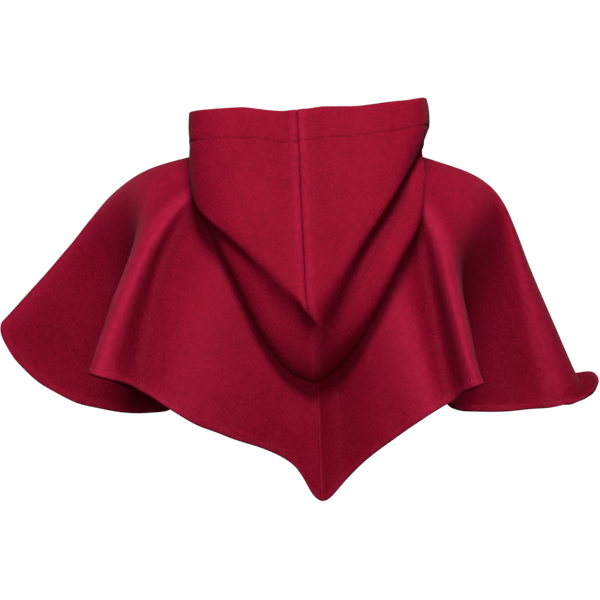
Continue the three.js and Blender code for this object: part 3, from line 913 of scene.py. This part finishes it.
def wool_material(name, cloth, tone, crest):
    """Fulled wool: clouds of deeper and lighter dye, flecks of single fibres, paler rubbed edges, a painted
    highlight on each fold's crest and painted shade darkening the hollows, and a bump of matted nap over the
    cloth's own threads, which run in the flat cut.

    crest is the share of the painted highlight on the folds' crest lines.
    """
    shader = Shader(name)
    flat = shader.node("ShaderNodeUVMap", {"uv_map": "cut"})
    wear = shader.node("ShaderNodeAttribute", {"attribute_name": "wear"}, {}, "Fac")
    hollow = shader.node("ShaderNodeAttribute", {"attribute_name": "hollow"}, {}, "Fac")
    clouds = shader.ramp(shader.noise(16, 4), 0.32, 0.68)
    mottle = shader.ramp(shader.noise(150, 3), 0.34, 0.66)
    flecks = shader.ramp(shader.noise(420, 3), 0.38, 0.66)
    nap = shader.noise(900, 3)
    fibres = shader.noise(2600, 2)
    across, down = (
        shader.node("ShaderNodeSeparateXYZ", {}, {"Vector": flat}, axis) * (2 * np.pi / THREAD_PITCH)
        for axis in "XY"
    )
    # Paler where rubbed: edges and hems, and on the hood the seam's bands, which are partly a painted
    # highlight
    rubbed = wear * (0.35 + 0.65 * mottle)
    # Painted highlight: the crest of each fold is paled, as if lit, by the share crest
    crest_highlight = shader.ramp(hollow, -0.1, -0.9) * (0.6 + 0.4 * mottle)
    colour = shader.mix(0.25 + 0.55 * clouds, opaque(cloth.deep, tone), opaque(cloth.wool, tone))
    layers = (
        (mottle * 0.4, cloth.wool, 1.12),
        # Painted shade: the hollows between folds are darkened towards the deep colour
        (shader.ramp(hollow, 0.05, 0.9) * 0.6, cloth.deep, 0.7),
        (crest_highlight * crest, cloth.worn_and_highlight, 1.2),
        (flecks * 0.30, cloth.worn_and_highlight, 1.0),
        (rubbed * 0.55, cloth.worn_and_highlight, 1.1),
    )
    for share, dye, factor in layers:
        colour = shader.mix(share, colour, opaque(dye, factor * tone))
    height = nap * 0.55 + fibres * 0.25 + mottle * 0.5 + across.sine() * down.sine() * 0.06
    bump = shader.node("ShaderNodeBump", {}, {"Strength": 0.55, "Distance": 0.0006, "Height": height})
    return shader.surface({
        "Base Color": colour,
        "Roughness": 0.66 + 0.12 * flecks,
        "Specular IOR Level": 0.045,
        "Sheen Weight": 0.02,
        "Sheen Roughness": 0.45,
        "Sheen Tint": (0.95, 0.22, 0.32, 1),
        "Normal": bump,
    })


def thread_material(name, settings):
    """Spun thread: the dye varies a little along it, with a fine bump of its twist."""
    shader = Shader(name)
    twist = shader.noise(2400, 2)
    colour = shader.mix(twist * 0.6, opaque(settings.colour, 0.8), opaque(settings.colour, 1.3))
    bump = shader.node("ShaderNodeBump", {}, {"Strength": 0.5, "Distance": 0.0002, "Height": twist})
    return shader.surface({
        "Base Color": colour, "Roughness": 0.7 + 0.1 * twist, "Specular IOR Level": 0.2, "Normal": bump,
    })


def paper_material(name, own_light):
    """Pale matt paper, faintly uneven, with a little light of its own."""
    shader = Shader(name)
    tone = shader.noise(1.5, 1)
    colour = shader.mix(tone, (0.90, 0.90, 0.90, 1), (0.93, 0.93, 0.93, 1))
    return shader.surface({
        "Base Color": colour, "Roughness": 0.95, "Specular IOR Level": 0.0,
        "Emission Color": (1, 1, 1, 1), "Emission Strength": own_light,
    })


# Pieces


def mantle_surface(side):
    """One half of the mantle as laid, and its outer and inner faces with their relief.

    The seams and the neckline roll in over their pressed allowances, alike on both halves. The cloth sinks a
    little under the hood, and the hem is turned in, stitched and a little wavy along its edge.
    """
    settings = bpy.context.scene.wool_hood_cloth
    at = close_at_ends(len(side.hem) - 1, MANTLE_COLUMNS_PER_ROW)
    cloth = lay_cloth(side, mantle_lines(side, at), NECK_ROWS, MANTLE_EDGE_ROWS, MANTLE_ROWS, -1, fan_cut)
    seed = 10 if side.sign < 0 else 20
    relief = half_relief(2, seed, cloth, settings.allowance)
    relief += hem_relief(seed + 5, cloth, settings.hem, **MANTLE_HEM)
    sink = fade_in(cloth.from_neck, SINK_START) * np.exp(-((cloth.from_neck / SINK_REACH) ** 4))
    relief += SINK_DEPTH * sink
    down = unit(cloth.points[:, -1] - cloth.points[:, -6])[:, None]
    waver = WAVER_HEIGHT * uneven(seed + 6, cloth.from_back, 0 * cloth.from_back, WAVER_PITCH)
    waver *= np.exp(-cloth.from_edge / WAVER_REACH) * fade_in(cloth.from_seam, WAVER_SEAM_REACH)
    folded = within(cloth.from_edge, settings.hem, THICKNESS_STEP)
    pressed = PRESSED_SHARE * within(cloth.from_seam, settings.allowance, THICKNESS_STEP)
    thickness = settings.thickness * (1 + np.maximum(folded, pressed))
    base = cloth.points + waver[..., None] * down
    return cloth, *both_faces(cloth, base, relief, thickness, roll_in(cloth.from_edge, EDGE_ROLL))


def hood_surface(side):
    """One half of the hood as laid, and its outer and inner faces with their relief.

    The band of the face hem stands a little proud of its stitching, which dimples and puckers the cloth.
    """
    settings = bpy.context.scene.wool_hood_cloth
    at = close_at_ends(len(side.hood) - 1, HOOD_COLUMNS_PER_ROW)
    cloth = lay_cloth(side, hood_lines(side, at), NECK_ROWS, FACE_EDGE_ROWS, HOOD_ROWS, 1, straight_cut)
    seed = 30 if side.sign < 0 else 40
    relief = half_relief(4, seed, cloth, settings.allowance)
    relief += hem_relief(seed + 5, cloth, FACE_OPENING_HEM["stitching"], **FACE_OPENING_HEM)
    near_edge = line_at(cloth.from_edge, VALLEY_EDGE_PLACE, VALLEY_EDGE_WIDTH)
    valley = VALLEY_DEPTH * line_at(cloth.from_back, VALLEY_PLACE, VALLEY_WIDTH)
    relief += valley * (VALLEY_LEAST + (1 - VALLEY_LEAST) * near_edge)
    pressed = PRESSED_SHARE * within(cloth.from_seam, settings.allowance, THICKNESS_STEP)
    in_band = within(cloth.from_edge, FACE_HEM + BAND_STEP, BAND_STEP)
    thickness = settings.thickness * (1 + pressed * (1 - in_band))
    return cloth, *both_faces(cloth, cloth.points, relief, thickness)


def edge_rolls(cloth, outer, angles):
    """Outer and inner rows round the rolled edge: the last row's centre of curvature, and a radius from it at
    each angle between the outside normal and the way down."""
    normal = cloth.normals[:, -1]
    down = unit(cloth.points[:, -1] - cloth.points[:, -2])
    down = unit(down - (down * normal).sum(axis=-1, keepdims=True) * normal)
    centre = outer[:, -1] - EDGE_ROLL * normal
    spoke = normal[:, None] * np.cos(angles)[:, None] + down[:, None] * np.sin(angles)[:, None]
    thickness = bpy.context.scene.wool_hood_cloth.thickness
    return [centre[:, None] + radius * spoke for radius in (EDGE_ROLL, EDGE_ROLL - thickness)]


def longer_cut(cloth, angles):
    """The flat cut's coordinates carried on round the rolled edge."""
    last = cloth.cut[:, -1]
    way = unit(last - cloth.cut[:, -2])
    return last[:, None] + way[:, None] * (EDGE_ROLL * angles)[:, None]


def add_piece(mesh, material, nodes):
    """An object fixed to the frame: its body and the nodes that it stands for."""
    piece = new_object(mesh, material)
    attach(piece, BODY)
    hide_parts(*nodes)
    return piece


def add_stitching(name, outer, cloth, row, material):
    """The stitches along one row of a grid of cloth."""
    settings = bpy.context.scene.wool_hood_thread
    mesh = thread_mesh(name, outer[:, row], cloth.normals[:, row], settings)
    return add_piece(mesh, material, [])


class WOOL_HOOD_OT_stage(bpy.types.Operator):
    """Sets the camera, the pale floor that curves up all round, and the studio lights"""

    bl_idname = "wool_hood.stage"
    bl_label = "Studio"

    def execute(self, context):
        studio = context.scene.wool_hood_studio
        scene = context.scene
        scene.view_settings.view_transform = "Standard"
        elevation = np.radians(VIEW_ELEVATION)
        back = Vector((0, -np.cos(elevation), np.sin(elevation)))
        camera = bpy.data.objects.new("camera", bpy.data.cameras.new("camera"))
        camera.data.sensor_width = SENSOR_WIDTH
        camera.data.lens = SENSOR_WIDTH * studio.distance / studio.view_width
        camera.location = Vector(VIEW_MIDDLE) + back * studio.distance
        camera.rotation_euler = (-back).to_track_quat("-Z", "Y").to_euler()
        scene.collection.objects.link(camera)
        scene.camera = camera
        for name, place, size, share in LIGHTS:
            self.add_light(name, place, size, share * studio.key)
        self.add_floor()
        world = bpy.data.worlds.new("studio")
        world.use_nodes = True
        world.node_tree.nodes["Background"].inputs["Color"].default_value = (1, 1, 1, 1)
        world.node_tree.nodes["Background"].inputs["Strength"].default_value = studio.fill
        scene.world = world
        return {"FINISHED"}

    def add_light(self, name, place, size, power):
        """An area light that looks at the garment and isn't seen itself."""
        light = bpy.data.lights.new(name, "AREA")
        light.shape = "RECTANGLE"
        light.size, light.size_y = size
        light.energy = power
        lamp = bpy.data.objects.new(name, light)
        lamp.location = place
        lamp.rotation_euler = (Vector(LIT_PLACE) - Vector(place)).to_track_quat("-Z", "Y").to_euler()
        lamp.visible_camera = False
        bpy.context.scene.collection.objects.link(lamp)

    def add_floor(self):
        """A round floor whose rim curves up into a wall: a profile of radius and height turned about Z."""
        bend = np.radians(np.linspace(0, 90, 16))
        flat = np.arange(0, FLOOR_RADIUS, FLOOR_BEND)
        rim = FLOOR_RADIUS + FLOOR_BEND * np.sin(bend)
        radius = np.concatenate([flat, rim, rim[-1:]])
        rise = np.concatenate([0 * flat, FLOOR_BEND - FLOOR_BEND * np.cos(bend), [WALL_HEIGHT]])
        turn = np.linspace(0, 2 * np.pi, 97)[:-1]
        points = np.stack([
            radius * np.cos(turn)[:, None], radius * np.sin(turn)[:, None],
            FLOOR_HEIGHT + rise + 0 * turn[:, None],
        ], axis=-1)
        number = np.arange(points[..., 0].size).reshape(points.shape[:2])
        after = np.roll(number, -1, axis=0)
        faces = quads(number[:, :-1], number[:, 1:], after[:, 1:], after[:, :-1])
        mesh = smooth_mesh("floor", points, faces)
        floor = new_object(mesh, paper_material("paper", own_light=0.95))
        floor.visible_diffuse = floor.visible_glossy = floor.visible_shadow = False


class WOOL_HOOD_OT_mantle(bpy.types.Operator):
    """Makes the mantle's two halves, from the neckline to the turned hem"""

    bl_idname = "wool_hood.mantle"
    bl_label = "Mantle"

    def execute(self, context):
        settings = context.scene.wool_hood_cloth
        # crest=0.55 paints a highlight on the mantle's folds
        material = wool_material("mantle_wool", settings, tone=1.0, crest=0.55)
        threads = thread_material("mantle_thread", context.scene.wool_hood_thread)
        for side in SIDES:
            cloth, outer, inner = mantle_surface(side)
            wear = MANTLE_EDGE_WEAR * np.exp(-cloth.from_edge / WEAR_REACH)
            wear += MANTLE_HEM_WEAR * within(cloth.from_edge, settings.hem, WEAR_REACH)
            mesh = sheet_mesh(
                f"mantle_cloth_{side.name}", outer, inner, cloth.cut, wear, hollows(cloth), cloth.outside
            )
            piece = add_piece(mesh, material, [f"mantle_{side.name}"])
            name = f"mantle_stitching_{side.name}"
            stitching = add_stitching(name, outer, cloth, MANTLE_STITCH_ROW, threads)
        return {"FINISHED"}


class WOOL_HOOD_OT_hood(bpy.types.Operator):
    """Makes the hood's two halves, folded down behind the neck"""

    bl_idname = "wool_hood.hood"
    bl_label = "Hood"

    def execute(self, context):
        settings = context.scene.wool_hood_cloth
        material = wool_material("hood_wool", settings, tone=1.04, crest=0.0)
        threads = thread_material("hood_thread", context.scene.wool_hood_thread)
        for side in SIDES:
            cloth, outer, inner = hood_surface(side)
            rolled, under = edge_rolls(cloth, outer, ROLL_ANGLES)
            cut = joined(cloth.cut, longer_cut(cloth, ROLL_ANGLES))
            wear = FACE_EDGE_WEAR * np.exp(-cloth.from_edge / WEAR_REACH)
            # The bands beside the seam: rubbing, and partly a painted highlight of the seam's ridges
            wear += BAND_WEAR_AND_HIGHLIGHT * line_at(cloth.from_back, BAND_PLACE, BAND_WIDTH)
            wear, hollow = (
                joined(values, np.repeat(values[:, -1:], len(ROLL_ANGLES), axis=1))
                for values in (wear, hollows(cloth))
            )
            mesh = sheet_mesh(
                f"hood_cloth_{side.name}", joined(outer, rolled), joined(inner, under), cut, wear, hollow,
                cloth.outside,
            )
            piece = add_piece(mesh, material, [f"hood_{side.name}"])
            name = f"hood_stitching_{side.name}"
            stitching = add_stitching(name, outer, cloth, FACE_STITCH_ROW, threads)
        return {"FINISHED"}


class WOOL_HOOD_OT_face_hem(bpy.types.Operator):
    """Makes the hem that is turned in round the face opening"""

    bl_idname = "wool_hood.face_hem"
    bl_label = "Face hem"

    def execute(self, context):
        settings = context.scene.wool_hood_cloth
        material = wool_material("hem_wool", settings, tone=0.95, crest=0.0)
        for side in SIDES:
            cloth, outer, _ = hood_surface(side)
            depth = 2 * EDGE_ROLL
            inside = (outer - depth * cloth.normals)[:, FACE_HEM_ROWS]
            back = (outer - (depth - settings.thickness) * cloth.normals)[:, FACE_HEM_ROWS]
            rolled, under = edge_rolls(cloth, outer, TURNED_ANGLES)
            face = joined(rolled[:, :-1], inside)
            hidden = joined(under[:, :-1], back)
            down = lengths(face, axis=1)
            cut = straight_cut(lengths(face, axis=0), down)
            wear = FACE_EDGE_WEAR * np.exp(-down / WEAR_REACH)
            mesh = sheet_mesh(f"face_hem_cloth_{side.name}", face, hidden, cut, wear, 0 * wear, cloth.outside)
            piece = add_piece(mesh, material, [f"face_hem_{side.name}"])
        return {"FINISHED"}


class WOOL_HOOD_PT_panel(bpy.types.Panel):
    """The sizes, colours and steps of the wool hood"""

    bl_idname = "WOOL_HOOD_PT_panel"
    bl_label = "Wool hood"
    bl_space_type = "VIEW_3D"
    bl_region_type = "UI"
    bl_category = "Wool hood"

    def draw(self, context):
        for group in (getattr(context.scene, name) for name in GROUPS):
            box = self.layout.box()
            for name in group.bl_rna.properties.keys():
                if name not in ("rna_type", "name"):
                    box.prop(group, name)
        for operator in OPERATORS:
            self.layout.operator(operator.bl_idname)


OPERATORS = (WOOL_HOOD_OT_stage, WOOL_HOOD_OT_mantle, WOOL_HOOD_OT_hood, WOOL_HOOD_OT_face_hem)
GROUPS = {
    "wool_hood_cloth": ClothSettings,
    "wool_hood_thread": ThreadSettings,
    "wool_hood_studio": StudioSettings,
}
CLASSES = (*GROUPS.values(), *OPERATORS, WOOL_HOOD_PT_panel)


def register():
    for cls in CLASSES:
        bpy.utils.register_class(cls)
    for name, group in GROUPS.items():
        setattr(bpy.types.Scene, name, PointerProperty(type=group))


def unregister():
    for name in GROUPS:
        delattr(bpy.types.Scene, name)
    for cls in reversed(CLASSES):
        bpy.utils.unregister_class(cls)


def main():
    register()
    bpy.ops.wool_hood.stage()
    bpy.ops.wool_hood.mantle()
    bpy.ops.wool_hood.hood()
    bpy.ops.wool_hood.face_hem()


if __name__ == "__main__":
    main()
